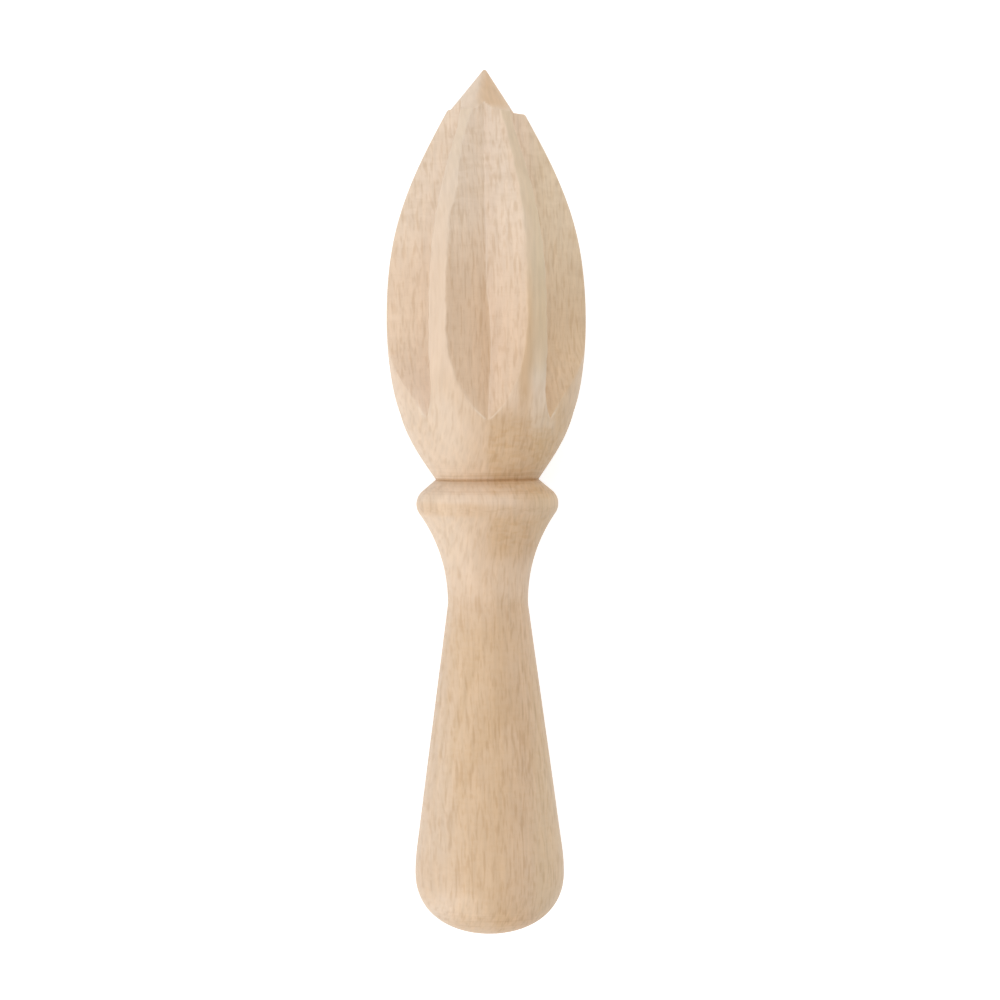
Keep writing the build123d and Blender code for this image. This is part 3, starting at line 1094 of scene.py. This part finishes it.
def relief(tree, fibres, flecks, marks):
    """Direction of the surface with its fibres standing out and its flecks and marks sunk."""
    height = tree.linear(flecks, FLECK_RELIEF, tree.product(fibres, FIBRE_RELIEF))
    inputs = {
        "Height": tree.linear(marks, MARK_RELIEF, height),
        "Strength": RELIEF_STRENGTH,
        "Distance": RELIEF_HEIGHT,
    }
    return tree.add("ShaderNodeBump", inputs).outputs[0]


def wood_material(incline, origin):
    """Bare sanded beech with its rings, rays and brown wood, with tool marks, and with painted
    highlights, sheen and shade.
    """
    material = bpy.data.materials.new("bare_beech")
    tree = Tree(material)
    turned, pithward = wood_coordinates(tree, incline, origin)
    across, _, along = tree.parts(turned)
    fluted, edge, painted_light = (tree.attribute(name) for name in SHARE_NAMES)
    unfluted = tree.math("SUBTRACT", 1.0, fluted)
    fibres = tree.noise(pithward, *FIBRE_NOISE)
    flecks = fleck_share(tree, pithward, fluted)
    marks = tool_marks(tree, turned, along, fluted)

    colour, brown = wood_tone(tree, pithward, across, along, fluted)
    colour = flanks_and_ribs(tree, colour, across, along, painted_light, unfluted)
    colour = tree.tint(
        colour,
        (1.0, tree.linear(fibres, *FIBRE_SHADE)),
        (tree.product(flecks, fleck_level(tree, along, brown, unfluted)), FLECK_TINT),
        (dash_share(tree, turned, along, brown), DASH_TINT),
        (ripple_share(tree, turned, along, fluted), RIPPLE_TINT),
        (marks, MARK_TINT),
        # Painted shade at the groove's bottom
        (tree.zone(along, *GROOVE_SHADE), GROOVE_SHADE_TINT),
    )
    inputs = {
        # Painted highlight along the rims of the flutes, strongest at their feet
        "Base Color": tree.mix(tree.product(edge, RIM_HIGHLIGHT_LEVEL), colour, RIM_HIGHLIGHT_WOOD),
        "Roughness": tree.linear(fibres, *ROUGHNESS),
        "Normal": relief(tree, fibres, flecks, marks),
    }
    shader = tree.add("ShaderNodeBsdfPrincipled", inputs).outputs[0]
    tree.add("ShaderNodeOutputMaterial", {"Surface": shader})
    return material


def by_ray(tree, lighting, seen):
    """One shader for rays that carry light, and one for camera, glossy and transmission rays."""
    rays = tree.add("ShaderNodeLightPath").outputs
    kinds = ("Is Camera Ray", "Is Glossy Ray", "Is Transmission Ray")
    share = tree.largest(*[rays[kind] for kind in kinds])
    inputs = {0: share, 1: lighting.outputs[0], 2: seen.outputs[0]}
    return tree.add("ShaderNodeMixShader", inputs).outputs[0]


def make_floor():
    """Pale floor that looks white and keeps a soft shadow."""
    corners = [(-1, -1), (1, -1), (1, 1), (-1, 1)]
    mesh = bpy.data.meshes.new("floor")
    mesh.from_pydata([(x * FLOOR_REACH, y * FLOOR_REACH, 0) for x, y in corners], [], [range(4)])
    floor = bpy.data.objects.new("floor", mesh)
    bpy.context.scene.collection.objects.link(floor)
    material = bpy.data.materials.new("pale_floor")
    tree = Tree(material)
    matte = tree.add("ShaderNodeBsdfDiffuse", {"Color": (FLOOR_COLOUR,) * 3 + (1,)})
    glow = tree.add("ShaderNodeEmission", {"Strength": FLOOR_GLOW})
    none = tree.add("ShaderNodeEmission", {"Strength": 0.0})
    both = tree.add("ShaderNodeAddShader", {0: matte.outputs[0], 1: by_ray(tree, none, glow)})
    tree.add("ShaderNodeOutputMaterial", {"Surface": both.outputs[0]})
    mesh.materials.append(material)


def make_world():
    """White surroundings, which light the wood at a plain level."""
    world = bpy.data.worlds.new("studio")
    tree = Tree(world)
    white = (1, 1, 1, 1)
    light = tree.add("ShaderNodeBackground", {"Color": white, "Strength": WORLD_LEVEL})
    seen = tree.add("ShaderNodeBackground", {"Color": white, "Strength": 1.0})
    tree.add("ShaderNodeOutputWorld", {"Surface": by_ray(tree, light, seen)})
    bpy.context.scene.world = world


def make_lamps():
    """Soft square lamps that face the reamer."""
    for name, place, side, radiance in LAMPS:
        data = bpy.data.lights.new(name, "AREA")
        data.shape = "SQUARE"
        data.size = side
        data.energy = radiance * math.pi * side * side
        lamp = bpy.data.objects.new(name, data)
        lamp.location = place
        lamp.rotation_euler = (LAMP_TARGET - lamp.location).to_track_quat("-Z", "Y").to_euler()
        bpy.context.scene.collection.objects.link(lamp)


def make_camera(incline, origin):
    """Looks straight down, with the reamer where the photograph shows it."""
    middle = (BUTT_END_PX - PHOTO_SIDE_PX / 2) * SCALE
    aside = (PHOTO_SIDE_PX / 2 - AXIS_MIDDLE_PX) * SCALE
    spot = origin + Vector((aside, middle, middle * math.sin(incline))) * MM
    data = bpy.data.cameras.new("camera")
    data.sensor_width = SENSOR_MM
    data.lens = SENSOR_MM * CAMERA_DISTANCE / (PHOTO_SIDE_PX * SCALE * MM)
    camera = bpy.data.objects.new("camera", data)
    camera.location = spot + Vector((0, 0, CAMERA_DISTANCE))
    camera.rotation_euler = (0, 0, -AXIS_LEAN)
    bpy.context.scene.collection.objects.link(camera)
    bpy.context.scene.camera = camera


reamer, incline, origin = make_reamer()
reamer.data.materials.append(wood_material(incline, origin))
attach(reamer, "root")
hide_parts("reamer")

make_floor()
make_world()
make_lamps()
make_camera(incline, origin)
bpy.context.scene.view_settings.view_transform = "Standard"
